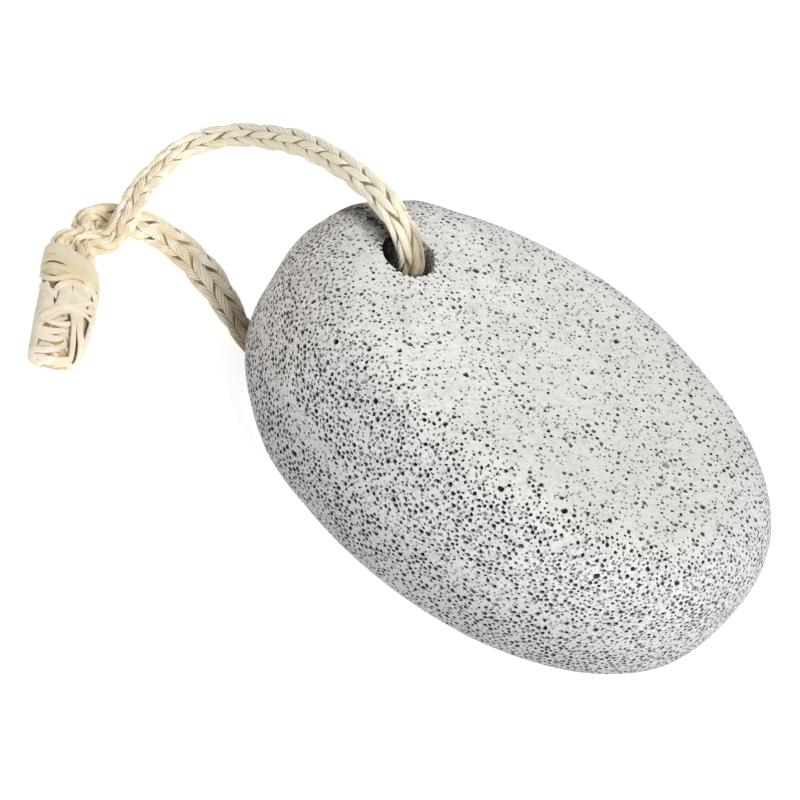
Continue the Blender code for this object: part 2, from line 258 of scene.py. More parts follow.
FRAYED_STRANDS = (
    # Left side, pale and nearly smooth
    (((7.6, -25, 0.0), (10.0, -8, 0.15), (13.0, 5, 0.2), (16.5, 12, 0.2), (20.0, 10, 0.2), (23.5, 0, 0.1),
      (25.5, -15, 0.0)), 1.7, 4, 0.1),
    (((8.4, -5, 0.1), (11.0, 14, 0.25), (14.2, 30, 0.25), (17.6, 31, 0.3), (21.2, 26, 0.3), (24.0, 14, 0.2),
      (25.8, 2, 0.0)), 1.6, 4, 0.25),
    (((8.0, -10, 0.2), (9.4, 8, 0.4), (10.6, 30, 0.5), (11.8, 50, 0.45), (13.6, 68, 0.3)), 1.2, 3, 0.9),
    (((8.0, 12, 0.0), (10.4, 27, 0.2), (13.0, 41, 0.25), (15.4, 52, 0.2), (17.6, 60, 0.0)), 1.9, 4, 0.5),
    # The rounded lump below the winding
    (((13.2, 56, 0.0), (11.2, 62, 0.45), (9.8, 74, 0.55), (9.3, 90, 0.55), (9.7, 106, 0.5), (11.4, 118, 0.4),
      (13.4, 122, 0.0)), 1.3, 3, 0.3),
    (((8.0, 74, -0.1), (10.2, 79, 0.35), (12.4, 80, 0.4), (14.6, 76, 0.3), (16.8, 70, 0.0)), 2.3, 4, 0.3),
    (((8.0, 94, -0.1), (10.2, 97, 0.4), (12.4, 97, 0.4), (14.4, 93, 0.3), (16.4, 88, 0.0)), 2.3, 4, 0.2),
    (((8.4, 112, -0.1), (10.6, 113, 0.35), (12.6, 110, 0.35), (14.6, 105, 0.2),
      (16.4, 100, 0.0)), 2.0, 4, 0.3),
    # Down the right side
    (((6.4, 98, 0.2), (8.2, 112, 0.4), (9.4, 130, 0.4), (11.2, 149, 0.4), (12.8, 168, 0.3),
      (14.5, 188, 0.1)), 1.6, 4, 0.2),
    (((9.6, 108, 0.0), (11.6, 122, 0.25), (13.0, 135, 0.25), (14.2, 152, 0.2), (16.0, 172, 0.2),
      (18.5, 185, 0.1)), 1.4, 4, 0.2),
    # Pale strands that cross from side to side
    (((18.9, 16, 0.2), (17.4, 45, 0.55), (16.0, 70, 0.65), (14.6, 92, 0.65), (13.3, 107, 0.6),
      (12.3, 135, 0.5), (12.2, 163, 0.3), (12.9, 195, 0.1)), 1.1, 3, 0.6),
    (((19.3, 25, 0.1), (17.9, 54, 0.4), (16.5, 77, 0.5), (15.4, 94, 0.5), (14.9, 110, 0.5), (14.1, 142, 0.4),
      (14.4, 175, 0.3), (15.2, 205, 0.1)), 1.1, 3, 0.3),
    (((14.9, 80, 0.1), (15.6, 96, 0.6), (15.7, 112, 0.6), (15.9, 134, 0.5), (16.6, 160, 0.4),
      (17.8, 188, 0.1)), 0.8, 2, 0.7),
    # Flat loops in the middle
    (((16.8, 2, 0.1), (18.0, 40, 0.35), (18.6, 66, 0.3), (18.7, 84, 0.3), (18.0, 98, 0.2),
      (16.8, 110, -0.1)), 1.0, 3, 0.6),
    (((18.4, 2, 0.25), (19.6, 36, 0.3), (20.0, 62, 0.25), (20.0, 80, 0.2), (19.2, 94, 0.0)), 1.3, 2, 1.0),
    (((19.6, 10, 0.2), (20.9, 44, 0.25), (21.3, 68, 0.2), (21.2, 84, 0.1), (20.2, 97, -0.2)), 1.6, 2, 1.0),
    (((21.9, 30, -0.3), (22.3, 60, -0.25), (22.0, 90, -0.3)), 1.0, 3, 0.0),
    # Loops above the tip
    (((22.9, -2, 0.3), (23.6, 26, 0.45), (23.7, 60, 0.45), (23.4, 80, 0.4), (22.8, 95, 0.1)), 1.3, 3, 0.6),
    (((23.9, -6, 0.1), (24.8, 24, 0.2), (24.9, 60, 0.2), (24.6, 92, 0.1)), 0.9, 3, 0.2),
    (((25.4, 20, 0.1), (25.6, 60, 0.35), (25.2, 95, 0.4), (24.2, 122, 0.3), (23.2, 150, 0.1)), 0.9, 3, 0.4),
    (((26.0, -20, 0.1), (26.3, 40, 0.2), (26.0, 100, 0.3), (25.0, 140, 0.3), (24.0, 168, 0.1)), 1.2, 3, 0.3),
    (((25.6, -60, 0.1), (26.0, -30, 0.2), (26.2, 10, 0.2), (26.4, 90, 0.0)), 1.3, 4, 0.2),
    # Strands that run down to the tip
    (((14.8, 90, 0.1), (16.2, 95, 0.55), (18.5, 102, 0.65), (21.0, 110, 0.65), (23.6, 124, 0.5),
      (25.4, 140, 0.2)), 1.0, 3, 0.4),
    (((14.6, 98, 0.1), (16.2, 104, 0.5), (18.8, 116, 0.55), (21.0, 132, 0.55), (23.0, 154, 0.4),
      (24.8, 178, 0.1)), 1.0, 3, 0.5),
    (((15.0, 108, 0.1), (16.4, 114, 0.4), (18.8, 122, 0.45), (20.6, 142, 0.45),
      (22.2, 164, 0.2)), 0.8, 2, 0.2),
    (((11.6, 152, 0.1), (13.8, 147, 0.4), (17.2, 146, 0.5), (20.1, 150, 0.5), (22.0, 170, 0.4),
      (23.6, 194, 0.1)), 1.0, 3, 0.5),
    (((10.4, 165, 0.1), (12.4, 172, 0.3), (15.4, 173, 0.35), (18.7, 171, 0.35), (20.8, 182, 0.3),
      (22.8, 200, 0.1)), 1.1, 3, 0.3),
)


# Materials

STRETCH_AXIS = np.array(STRETCH_DIRECTION)


def linear(hex_colour):
    """The shader's colour for an sRGB hex value."""
    parts = [int(hex_colour[start:start + 2], 16) / 255.0 for start in (1, 3, 5)]
    return (*((p / 12.92 if p <= 0.04045 else ((p + 0.055) / 1.055) ** 2.4) for p in parts), 1.0)


def node(tree, kind, inputs=None, **settings):
    """Adds a node; an input given as a socket is linked and any other value is set."""
    made = tree.nodes.new("ShaderNode" + kind)
    stops = settings.pop("stops", None)
    for name, value in settings.items():
        setattr(made, name, value)
    if stops:
        ramp = made.color_ramp
        while len(ramp.elements) < len(stops):
            ramp.elements.new(0.5)
        for element, (place, colour) in zip(ramp.elements, stops):
            element.position = place
            element.color = colour
    for name, value in (inputs or {}).items():
        if isinstance(value, bpy.types.NodeSocket):
            tree.links.new(value, made.inputs[name])
        else:
            made.inputs[name].default_value = value
    return made


def new_material(name, roughness, ior):
    finish = bpy.data.materials.new(name)
    finish.use_nodes = True
    shader = finish.node_tree.nodes["Principled BSDF"]
    shader.inputs["Roughness"].default_value = roughness
    shader.inputs["IOR"].default_value = ior
    return finish, finish.node_tree, shader


def blend(tree, share, first, second, way="MIX"):
    """Mixes two colours and gives the result's socket."""
    mixed = node(tree, "Mix", {0: share, 6: first, 7: second}, data_type="RGBA", blend_type=way)
    return mixed.outputs[2]


def from_to(tree, value, low, high, out_low=0.0, out_high=1.0):
    """A value's place between two limits, eased at both ends."""
    return node(tree, "MapRange", {0: value, 1: low, 2: high, 3: out_low, 4: out_high},
                interpolation_type="SMOOTHSTEP").outputs[0]


def pumice_finish():
    """Pumice is foamed volcanic glass, cut and rubbed flat: dull, gritty and pale, with painted shade down in
    its open bubbles."""
    finish, tree, shader = new_material("pumice_cut_and_worn", 0.93, 1.45)
    shader.inputs["Specular IOR Level"].default_value = 0.25
    place = node(tree, "TexCoord").outputs["Object"]
    axes = node(tree, "SeparateXYZ", {0: place})
    x, z = axes.outputs["X"], axes.outputs["Z"]

    # Rubbed faces are warmer than the sides
    top = from_to(tree, z, 0.0345, 0.0395)
    under = from_to(tree, z, 0.0035, 0.0008)
    face = node(tree, "Math", {0: top, 1: under}, operation="MAXIMUM").outputs[0]
    worn = blend(tree, from_to(tree, x, -0.03, 0.03), linear("#E5E4DE"), linear("#D4D3CE"))
    base = blend(tree, face, linear("#D8D8D8"), worn)
    # The end by the cord hole is beiger and lighter, partly its tint and partly painted light where the lamps
    # reach less; the far end cooler and paler
    near_cord_tint_and_light = node(tree, "Math", {
        0: from_to(tree, x, -0.022, -0.047), 1: from_to(tree, face, 1.0, 0.0)}, operation="MULTIPLY")
    base = blend(tree, near_cord_tint_and_light.outputs[0], base, linear("#EAE4DB"))
    # Painted shade: the sides darker and greyer towards the table
    low = node(tree, "Math", {
        0: from_to(tree, z, 0.030, 0.006, 0.0, 0.8), 1: from_to(tree, face, 1.0, 0.0)}, operation="MULTIPLY")
    base = blend(tree, low.outputs[0], base, linear("#A2A2A5"))
    far_end = from_to(tree, x, 0.030, 0.048, 0.0, 0.6)
    base = blend(tree, far_end, base, linear("#CFD2D5"))
    # Clouding over about a centimetre, and grit of about a third of a millimetre
    cloud = node(tree, "TexNoise", {"Vector": place, "Scale": 110.0, "Detail": 3.0}).outputs["Fac"]
    base = blend(tree, from_to(tree, cloud, 0.35, 0.7, 0.0, 0.35), base, linear("#C6C1BE"))
    # Dimples about a millimetre across, as painted shade where the surface dips
    dimple = node(tree, "TexNoise", {"Vector": place, "Scale": 950.0, "Detail": 1.0}).outputs["Fac"]
    on_sides = from_to(tree, face, 1.0, 0.0, 0.15, 0.5)
    base = blend(tree, node(tree, "Math", {0: from_to(tree, dimple, 0.58, 0.36), 1: on_sides},
                            operation="MULTIPLY").outputs[0], base, linear("#B3B2B0"))
    grit = node(tree, "TexNoise", {"Vector": place, "Scale": 2600.0, "Detail": 2.0}).outputs["Fac"]
    base = blend(tree, from_to(tree, grit, 0.42, 0.30, 0.0, 0.55), base, linear("#9A9592"))
    base = blend(tree, from_to(tree, grit, 0.60, 0.74, 0.0, 0.45), base, linear("#F4F3F0"))

    # Faint rubbing marks, which run one way over the worn faces
    turned = node(tree, "Mapping", {
        "Vector": place, "Rotation": (0.0, 0.0, math.atan2(STRETCH_DIRECTION[1], STRETCH_DIRECTION[0])),
        "Scale": RUBBING_SIZE}, vector_type="TEXTURE").outputs[0]
    rubbed = node(tree, "TexNoise", {"Vector": turned, "Scale": 1.0, "Detail": 2.0}).outputs["Fac"]
    streak = node(tree, "Math", {0: face, 1: from_to(tree, rubbed, 0.50, 0.30)}, operation="MULTIPLY")
    base = blend(tree, node(tree, "Math", {0: streak.outputs[0], 1: 0.35}, operation="MULTIPLY").outputs[0],
                 base, linear("#AFAFAA"))

    # Bubbles too small to model, about 0.5 mm apart: bumped in, with painted shade inside
    specks = node(tree, "TexVoronoi", {"Vector": place, "Scale": 1500.0, "Randomness": 1.0})
    pick = node(tree, "SeparateColor", {0: specks.outputs["Color"]}).outputs[0]
    most = from_to(tree, face, 0.0, 1.0, 0.10, 0.56)
    holed = node(tree, "Math", {0: pick, 1: most}, operation="GREATER_THAN").outputs[0]
    speck = from_to(tree, specks.outputs["Distance"], 0.44, 0.18)
    speck = node(tree, "Math", {0: speck, 1: holed}, operation="MULTIPLY").outputs[0]
    base = blend(tree, node(tree, "Math", {0: speck, 1: 0.85}, operation="MULTIPLY").outputs[0],
                 base, linear("#5A5653"))

    # Painted shade down in the modelled bubbles, the cord hole and channels, and under the cord
    painted_shade = node(tree, "Attribute", attribute_name="bubble_painted_shade").outputs["Fac"]
    base = blend(tree, painted_shade, base, linear("#2E2B2A"))
    tree.links.new(base, shader.inputs["Base Color"])

    height = node(tree, "Math", {0: grit, 1: speck}, operation="SUBTRACT").outputs[0]
    bump = node(tree, "Bump", {"Strength": 0.55, "Distance": 0.00012, "Height": height})
    tree.links.new(bump.outputs["Normal"], shader.inputs["Normal"])
    return finish


def cotton_finish(name, light, mid, deep, patch_scale):
    """Unbleached cotton yarn, spun and braided or wound: soft matt ivory with fine fibres along each yarn,
    a faint fuzz at grazing angles, and painted straw-brown shade where light doesn't reach between the yarns."""
    finish, tree, shader = new_material(name, 0.88, 1.47)
    shader.inputs["Specular IOR Level"].default_value = 0.2
    shader.inputs["Sheen Weight"].default_value = 0.7
    shader.inputs["Sheen Roughness"].default_value = 0.6
    place = node(tree, "TexCoord").outputs["Object"]
    run = node(tree, "UVMap", uv_map="yarn").outputs["UV"]

    # Fibres run along the yarn: the map is in millimetres along and across it
    fibres = node(tree, "TexNoise", {
        "Vector": node(tree, "Mapping", {"Vector": run, "Scale": (0.9, 14.0, 1.0)}).outputs[0],
        "Scale": 1.0, "Detail": 3.0, "Roughness": 0.6,
    }).outputs["Fac"]
    patches = node(tree, "TexNoise", {"Vector": place, "Scale": patch_scale, "Detail": 2.0}).outputs["Fac"]
    lift = node(tree, "Attribute", attribute_name="lift").outputs["Fac"]
    base = blend(tree, from_to(tree, patches, 0.35, 0.68), linear(light), linear(mid))
    base = blend(tree, from_to(tree, fibres, 0.55, 0.30, 0.0, 0.5), base, linear(mid))
    # Painted shade: towards the deep colour where the lift attribute is low
    base = blend(tree, from_to(tree, lift, 0.56, 0.0), base, linear(deep))
    # Yarn gone the colour of peach and straw here and there, most of it close to the binding
    near = node(tree, "VectorMath", {0: place, 1: tuple(Vector(BINDING_TOP) * MM)}, operation="DISTANCE")
    stain = node(tree, "TexNoise", {"Vector": place, "Scale": 420.0, "Detail": 1.0}).outputs["Fac"]
    amount = node(tree, "Math", {
        0: from_to(tree, near.outputs["Value"], 0.045, 0.010, 0.20, 0.65),
        1: from_to(tree, stain, 0.34, 0.56)}, operation="MULTIPLY").outputs[0]
    base = blend(tree, amount, base, blend(tree, from_to(tree, patches, 0.42, 0.58), linear("#E8CBA4"),
                                           linear("#E0D0A2")))
    pale = node(tree, "Attribute", attribute_name="pale").outputs["Fac"]
    base = blend(tree, node(tree, "Math", {0: pale, 1: 0.8}, operation="MULTIPLY").outputs[0],
                 base, blend(tree, from_to(tree, lift, 0.6, 0.1), linear("#EFE6DA"), linear(deep)))
    tree.links.new(base, shader.inputs["Base Color"])
    bump = node(tree, "Bump", {"Strength": 0.5, "Distance": 0.00008, "Height": fibres})
    tree.links.new(bump.outputs["Normal"], shader.inputs["Normal"])
    return finish


def table_finish():
    """A white floor that glows as painted light: matt, plain, and so bright that shadows nearly vanish."""
    finish, _, shader = new_material("white_floor_painted_glow", 0.9, 1.49)
    shader.inputs["Specular IOR Level"].default_value = 0.1
    shader.inputs["Base Color"].default_value = linear("#C4C4C3")
    shader.inputs["Emission Color"].default_value = linear("#FFFFFF")
    shader.inputs["Emission Strength"].default_value = TABLE_GLOW
    return finish


# Meshes and curves

def piece_from(name, places, faces, finish):
    """A piece whose corners are given in the shared frame."""
    mesh = bpy.data.meshes.new(name)
    mesh.from_pydata([tuple(place) for place in places], [], faces)
    mesh.materials.append(finish)
    made = bpy.data.objects.new(name, mesh)
    bpy.context.scene.collection.objects.link(made)
    return made


def pick_only(thing):
    bpy.ops.object.select_all(action="DESELECT")
    thing.select_set(True)
    bpy.context.view_layer.objects.active = thing


def give_values(thing, name, values, each="POINT"):
    """Stores one number for each corner point or face, for the material to read."""
    layer = thing.data.attributes.new(name, "FLOAT", each)
    layer.data.foreach_set("value", np.asarray(values, dtype=np.float32))


def give_run(thing, runs):
    """A UV map in millimetres along and yarns across, for the fibres."""
    layer = thing.data.uv_layers.new(name="yarn")
    corners = np.zeros(len(thing.data.loops), dtype=np.int32)
    thing.data.loops.foreach_get("vertex_index", corners)
    layer.data.foreach_set("uv", np.asarray(runs, dtype=np.float32)[corners].reshape(-1))


def tube_faces(base, rings, around, turned):
    """The sides and both end caps of a tube whose corners start at base and run ring after ring."""
    faces = []
    for low in range(base, base + (rings - 1) * around, around):
        high = low + around
        for step in range(around):
            pair = (step, (step + 1) % around)
            first, second = reversed(pair) if turned else pair
            faces.append((low + first, low + second, high + second, high + first))
    near = range(base, base + around)
    far = range(base + (rings - 1) * around, base + rings * around)
    faces.append(tuple(near if turned else reversed(near)))
    faces.append(tuple(reversed(far) if turned else far))
    return faces


def unit(vectors):
    return vectors / np.maximum(np.linalg.norm(vectors, axis=-1, keepdims=True), 1e-12)


def eased(share):
    """A share from 0 to 1 that starts and ends slowly."""
    return share * share * (3.0 - 2.0 * share)


def between_marks(a, b, c, d, t):
    """The smooth curve from b to c at share t, led by the marks before and after them."""
    return 0.5 * (
        2.0 * b + (c - a) * t + (2.0 * a - 5.0 * b + 4.0 * c - d) * t ** 2
        + (3.0 * b - a - 3.0 * c + d) * t ** 3
    )


def smooth_marks(marks, count):
    """A smooth run through marks of any kind, evenly stepped."""
    marks = np.array(marks, dtype=float)
    marks = np.concatenate([[2.0 * marks[0] - marks[1]], marks, [2.0 * marks[-1] - marks[-2]]])
    at = np.linspace(0.0, len(marks) - 3 - 1e-6, count)
    index = at.astype(int)
    return between_marks(*(marks[index + offset] for offset in range(4)), (at - index)[:, None])


# Cord route

def binding_axes():
    """Along the binding, across it towards the outer leg, and up."""
    along = Vector(BINDING_DIRECTION).normalized()
    up = Vector((0.0, 0.0, 1.0))
    return along, along.cross(up), up


def leg_end(side):
    """The last three points of a leg, where it runs straight into the binding, in millimetres."""
    along, across, up = binding_axes()
    end = Vector(BINDING_TOP) + (across * LEG_FROM_MIDDLE - up * LEG_RISE) * side
    return (end - along * STRAIGHT_BEFORE_BINDING, end, end + along * LEG_INSIDE_BINDING)


def route_points(*legs):
    """A smooth curve through the given points."""
    marks = [Vector(point) * MM for leg in legs for point in leg]
    marks = [2.0 * marks[0] - marks[1], *marks, 2.0 * marks[-1] - marks[-2]]
    dense = []
    for a, b, c, d in zip(marks, marks[1:], marks[2:], marks[3:]):
        dense += [between_marks(a, b, c, d, step / SPLINE_STEPS) for step in range(SPLINE_STEPS)]
    dense.append(marks[-2])
    return np.array(dense)


def run_lengths(points):
    """How far along the line each of its points is."""
    return np.concatenate([[0.0], np.cumsum(np.linalg.norm(np.diff(points, axis=0), axis=1))])


def along_line(points, lengths, wanted):
    """The line's points at the wanted lengths, whatever the wanted array's shape."""
    return np.stack([np.interp(wanted, lengths, points[:, axis]) for axis in range(3)], axis=-1)


def from_table(table, column, at, size=1.0):
    """A column of a table along the route, times size, at any lengths in metres."""
    rows = np.array(table)
    return np.interp(at, rows[:, 0] * MM, rows[:, column] * size)


# Stone

def soft_lower(a, b):
    """The lower of two heights, with the corner between them rounded."""
    overlap = np.maximum(EDGE_SOFTNESS - np.abs(a - b), 0.0) / EDGE_SOFTNESS
    return np.minimum(a, b) - overlap * overlap * EDGE_SOFTNESS / 4.0


def stone_places(directions):
    """Where directions of the unit sphere lie on the stone."""
    power = 2.0 / SIDE_SQUARENESS
    reach = np.maximum(np.hypot(directions[:, 0], directions[:, 1]), 1e-9)
    plan = reach ** power
    x = STONE_LENGTH / 2.0 * plan * directions[:, 0] / reach
    y = STONE_WIDTH / 2.0 * plan * directions[:, 1] / reach
    rise = FULL_HALF_HEIGHT * np.abs(directions[:, 2]) ** power
    upper = soft_lower(rise, TOP_ABOVE_MIDDLE - TOP_SLOPE * x)
    lower = -soft_lower(rise, UNDERSIDE_BELOW_MIDDLE)
    z = np.where(directions[:, 2] > 0.0, upper, lower)
    return np.stack([x, y, z + UNDERSIDE_BELOW_MIDDLE], axis=1)


def candidate_directions(dice, count):
    """Directions, picked so that both the sides and the flat faces get their share."""
    turn = dice.uniform(0.0, math.tau, count)
    even_up = dice.uniform(-1.0, 1.0, count)
    face_reach = np.sqrt(dice.uniform(0.0, 1.0, count)) ** (SIDE_SQUARENESS / 2.0)
    face_up = np.copysign(np.sqrt(1.0 - face_reach ** 2), even_up)
    for_sides = dice.uniform(0.0, 1.0, count) < 0.5
    up = np.where(for_sides, even_up, face_up)
    reach = np.sqrt(np.maximum(1.0 - up ** 2, 0.0))
    return np.stack([reach * np.cos(turn), reach * np.sin(turn), up], axis=1)


def keep_apart(places, reaches):
    """The places that stay when each, in order, pushes away those within both their reaches."""
    tree = kdtree.KDTree(len(places))
    for index, place in enumerate(places):
        tree.insert(place, index)
    tree.balance()
    widest = float(reaches.max())
    gone = np.zeros(len(places), dtype=bool)
    kept = []
    for index, place in enumerate(places):
        if gone[index]:
            continue
        kept.append(index)
        for _, other, distance in tree.find_range(place, float(reaches[index]) + widest):
            if distance < reaches[index] + reaches[other]:
                gone[other] = True
    return kept


def joined_on_a_ball(directions):
    """Triangles that join the directions over the unit sphere, and are then evened out on the stone."""
    bm = bmesh.new()
    for direction in directions:
        bm.verts.new(direction)
    bmesh.ops.convex_hull(bm, input=bm.verts)
    bm.verts.ensure_lookup_table()
    for vert, place in zip(bm.verts, stone_places(directions)):
        vert.co = place
    bmesh.ops.beautify_fill(bm, faces=bm.faces, edges=bm.edges, method="ANGLE")
    bmesh.ops.recalc_face_normals(bm, faces=bm.faces)
    bm.normal_update()
    places = np.array([vert.co for vert in bm.verts])
    normals = np.array([vert.normal for vert in bm.verts])
    triangles = [[vert.index for vert in face.verts] for face in bm.faces]
    bm.free()
    return places, normals, triangles


def roughen(places, normals, amount, every, seed):
    """Moves places in and out by smooth noise."""
    shift = np.array([noise.noise(Vector(place / every) + Vector((seed, 0.0, 0.0))) for place in places])
    return places + normals * (shift * amount)[:, None]


def porous_skin(places, normals, triangles, radius, depth, stretch, axis, gloom):
    """Opens a bubble at every place with a radius. Each triangle keeps the land between its corners'
    bubbles, and each bubble gets a wall and a floor. Gives corners, faces and each face's painted shade."""
    dice = random.Random(SEED + 5)
    wobbles = {}
    corners = []
    faces = []
    painted_shade = []
    plain = {}
    rims = {}
    following = {}

    def add_corner(place):
        corners.append(place)
        return len(corners) - 1

    def add_face(face, darkness):
        faces.append(face)
        painted_shade.append(min(darkness, 1.0))

    def rim_corner(site, towards):
        if radius[site] <= 0.0:
            if site not in plain:
                plain[site] = add_corner(places[site])
            return plain[site]
        if (site, towards) not in rims:
            edge = places[towards] - places[site]
            length = float(np.linalg.norm(edge))
            away = edge / length
            reach = []
            for pair in ((site, towards), (towards, site)):
                if pair not in wobbles:
                    wobbles[pair] = dice.uniform(1.0 - RIM_WOBBLE, 1.0 + RIM_WOBBLE)
                longer = stretch[pair[0]] * (abs(float(away @ axis[pair[0]])) - 0.5)
                reach.append(radius[pair[0]] * (1.0 + longer) * wobbles[pair])
            room = length - LAND_BETWEEN_PORES
            if reach[0] + reach[1] > room:
                reach[0] *= room / (reach[0] + reach[1])
            rims[site, towards] = add_corner(places[site] + away * reach[0])
        return rims[site, towards]

    for triangle in triangles:
        land = []
        for index, site in enumerate(triangle):
            before = triangle[index - 1]
            after = triangle[(index + 1) % 3]
            if radius[site] > 0.0:
                following.setdefault(site, {})[after] = before
                land.append(rim_corner(site, before))
            land.append(rim_corner(site, after))
        add_face(land, 0.0)

    for site, follow in following.items():
        start = next(iter(follow))
        order = [start]
        while follow[order[-1]] != start:
            order.append(follow[order[-1]])
        rim = [rims[site, towards] for towards in order]
        # Painted shade in a bubble: darker the deeper it is, on the worn faces and nearer the table
        steep = min(depth[site] / radius[site], 1.0) * gloom[site]
        if radius[site] > SMALL_PORE_RADIUS[1]:
            levels = ((0.93, 0.4, 0.35), (0.7, 0.95, 0.7))
        elif radius[site] > CONE_PORE_BELOW:
            levels = ((0.80, 1.0, 0.5),)
        else:
            levels = ()
        ring = rim
        for narrowing, share, darkness in levels:
            centre = places[site] - normals[site] * depth[site] * share
            inner = [add_corner(centre + (corners[corner] - places[site]) * narrowing) for corner in rim]
            for index, corner in enumerate(ring):
                nxt = (index + 1) % len(ring)
                add_face([corner, ring[nxt], inner[nxt], inner[index]], darkness * steep)
            ring = inner
        if levels:
            add_face(ring, steep)
        else:
            bottom = add_corner(places[site] - normals[site] * depth[site] * 1.3)
            for index, corner in enumerate(ring):
                add_face([corner, ring[(index + 1) % len(ring)], bottom], 0.7 * steep)
    return corners, faces, painted_shade


def porous_stone(finish):
    dice = np.random.default_rng(SEED)
    big = candidate_directions(dice, BIG_PORE_CANDIDATES)
    ordinary = candidate_directions(dice, SITE_CANDIDATES)
    directions = np.concatenate([big, ordinary])
    count = len(directions)
    least, most = SMALL_PORE_RADIUS
    radius = least + (most - least) * dice.uniform(0.0, 1.0, count) ** SMALL_PORE_SKEW
    least, most = BIG_PORE_RADIUS
    radius[:len(big)] = least + (most - least) * dice.uniform(0.0, 1.0, len(big)) ** BIG_PORE_SKEW
    flat = np.abs(directions[:, 2]) > FLAT_FROM
    reaches = np.where(flat, FACE_SITE_REACH, SIDE_SITE_REACH)
    reaches[:len(big)] = radius[:len(big)] + PORE_MARGIN
    kept = np.array(keep_apart(stone_places(directions), reaches))
    radius = radius[kept]
    places, normals, triangles = joined_on_a_ball(directions[kept])

    is_big = kept < len(big)
    levelness = np.clip((np.abs(normals[:, 2]) - SHOULDER_FROM) / SHOULDER_SPAN, 0.0, 1.0)
    share = SIDE_PORE_SHARE + (FACE_PORE_SHARE - SIDE_PORE_SHARE) * levelness
    on_side, on_shoulder, on_face = BIG_PORE_SHARES
    big_share = np.where(levelness > 0.9, on_face, np.where(levelness > 0.0, on_shoulder, on_side))
    share = np.where(is_big, big_share, share)
    size = np.interp(np.abs(normals[:, 2]), LEVEL_AT, PORE_SIZE)
    radius = radius * np.where(is_big, 1.0, size)
    radius = np.where(dice.uniform(0.0, 1.0, len(kept)) < share, radius, 0.0)
    deep = dice.uniform(0.0, 1.0, len(kept)) < DEEP_PORE_SHARE
    depth = radius * np.where(
        deep, dice.uniform(*DEEP_PORE_DEPTH, len(kept)), dice.uniform(*SHALLOW_PORE_DEPTH, len(kept)))
    stretch = np.full(len(kept), PORE_STRETCH)
    axis = unit(dice.normal(0.0, 1.0, (len(kept), 3)))
    axis = unit(axis - normals * (axis * normals).sum(axis=1)[:, None])
    axis = np.where(levelness[:, None] > 0.5, STRETCH_AXIS, axis)

    for middle, reach, height in SWELLS:
        near = np.clip(1.0 - np.linalg.norm(places / MM - middle, axis=1) / reach, 0.0, 1.0)
        places = places + normals * (eased(near) * height * MM)[:, None]
    side_ness = np.clip(1.0 - np.abs(normals[:, 2]) / 0.9, 0.0, 1.0)[:, None]
    places = roughen(places, normals * side_ness, SIDE_UNEVENNESS, UNEVEN_EVERY, 3.0)
    places = roughen(places, normals, LAND_ROUGHNESS, LAND_ROUGH_EVERY, 5.0)
    places[:, 2] = np.maximum(places[:, 2], 0.02 * MM)
    gloom = 1.2 + 0.15 * levelness + LOW_PORES_DARKER * np.clip(1.0 - places[:, 2] / LOW_BELOW, 0.0, 1.0)
    corners, faces, painted_shade = porous_skin(
        places, normals, triangles, radius, depth, stretch, axis, gloom)
    stone = piece_from("porous_stone", corners, faces, finish)
    give_values(stone, "bubble_painted_shade", painted_shade, "FACE")
    return stone


# Cord hole

def hole_cutter(finish):
    """A column a little out of true, whose bubbles stand outwards, so that they open into the stone."""
    dice = np.random.default_rng(SEED + 1)
    height = TOP_ABOVE_MIDDLE + UNDERSIDE_BELOW_MIDDLE + 2.0 * HOLE_OVERSHOOT
    around = round(math.tau * HOLE_RADIUS / HOLE_WALL_PORE_SPACING)
    rows = round(height / (HOLE_WALL_PORE_SPACING * math.sin(math.pi / 3.0)))
    places = []
    normals = []
    for row in range(rows + 1):
        for step in range(around):
            angle = math.tau * (step + 0.5 * (row % 2) + dice.uniform(-0.22, 0.22)) / around
            rise = height * (row + dice.uniform(-0.2, 0.2)) / rows - HOLE_OVERSHOOT
            out = Vector((math.cos(angle), math.sin(angle), 0.0))
            wobble = noise.noise(Vector((out.x * 1.7, out.y * 1.7, rise / (9.0 * MM))))
            places.append(Vector((HOLE_X, 0.0, rise)) + out * (HOLE_RADIUS + wobble * HOLE_WOBBLE))
            normals.append(-out)
    triangles = []
    for row in range(rows):
        for step in range(around):
            low, low_next = row * around + step, row * around + (step + 1) % around
            high, high_next = low + around, low_next + around
            if row % 2:
                triangles += [(low, low_next, high_next), (low, high_next, high)]
            else:
                triangles += [(low, low_next, high), (low_next, high_next, high)]
    for row, rise, turned in ((0, -HOLE_OVERSHOOT, True), (rows, height - HOLE_OVERSHOOT, False)):
        places.append(Vector((HOLE_X, 0.0, rise)))
        normals.append(Vector((0.0, 0.0, -1.0)))
        for step in range(around):
            pair = (row * around + step, row * around + (step + 1) % around)
            triangles.append((*(reversed(pair) if turned else pair), len(places) - 1))
    count = len(places)
    radius = dice.uniform(*HOLE_WALL_PORE_RADIUS, count)
    radius[dice.uniform(0.0, 1.0, count) > SIDE_PORE_SHARE] = 0.0
    radius[:around] = 0.0
    radius[rows * around:] = 0.0
    corners, faces, painted_shade = porous_skin(
        np.array(places), np.array(normals), triangles, radius, radius * 1.1, np.zeros(count),
        np.array(normals), np.ones(count),
    )
    cutter = piece_from("hole_cutter", corners, faces, finish)
    middles = np.array([np.mean([corners[corner] for corner in face], axis=0) for face in faces])
    # Painted shade on the hole's wall: darker with depth and on the side away from the light, broken by grain
    down = np.clip((HOLE_TOP - middles[:, 2]) / HOLE_DARK_BY, 0.0, 1.0)
    shaded = np.clip(0.45 - (middles - (HOLE_X, 0.0, 0.0)) @ STRETCH_AXIS / HOLE_RADIUS, 0.0, 1.0)
    grain = np.array([
        noise.noise(Vector((place[0] / (0.5 * MM), place[1] / (0.5 * MM), place[2] / (1.6 * MM))))
        for place in middles
    ])
    wall = 0.02 + 0.3 * down + 0.9 * shaded + 0.8 * grain * (1.0 - shaded)
    give_values(cutter, "bubble_painted_shade", np.clip(np.maximum(np.array(painted_shade), wall), 0.0, 1.0), "FACE")
    return cutter


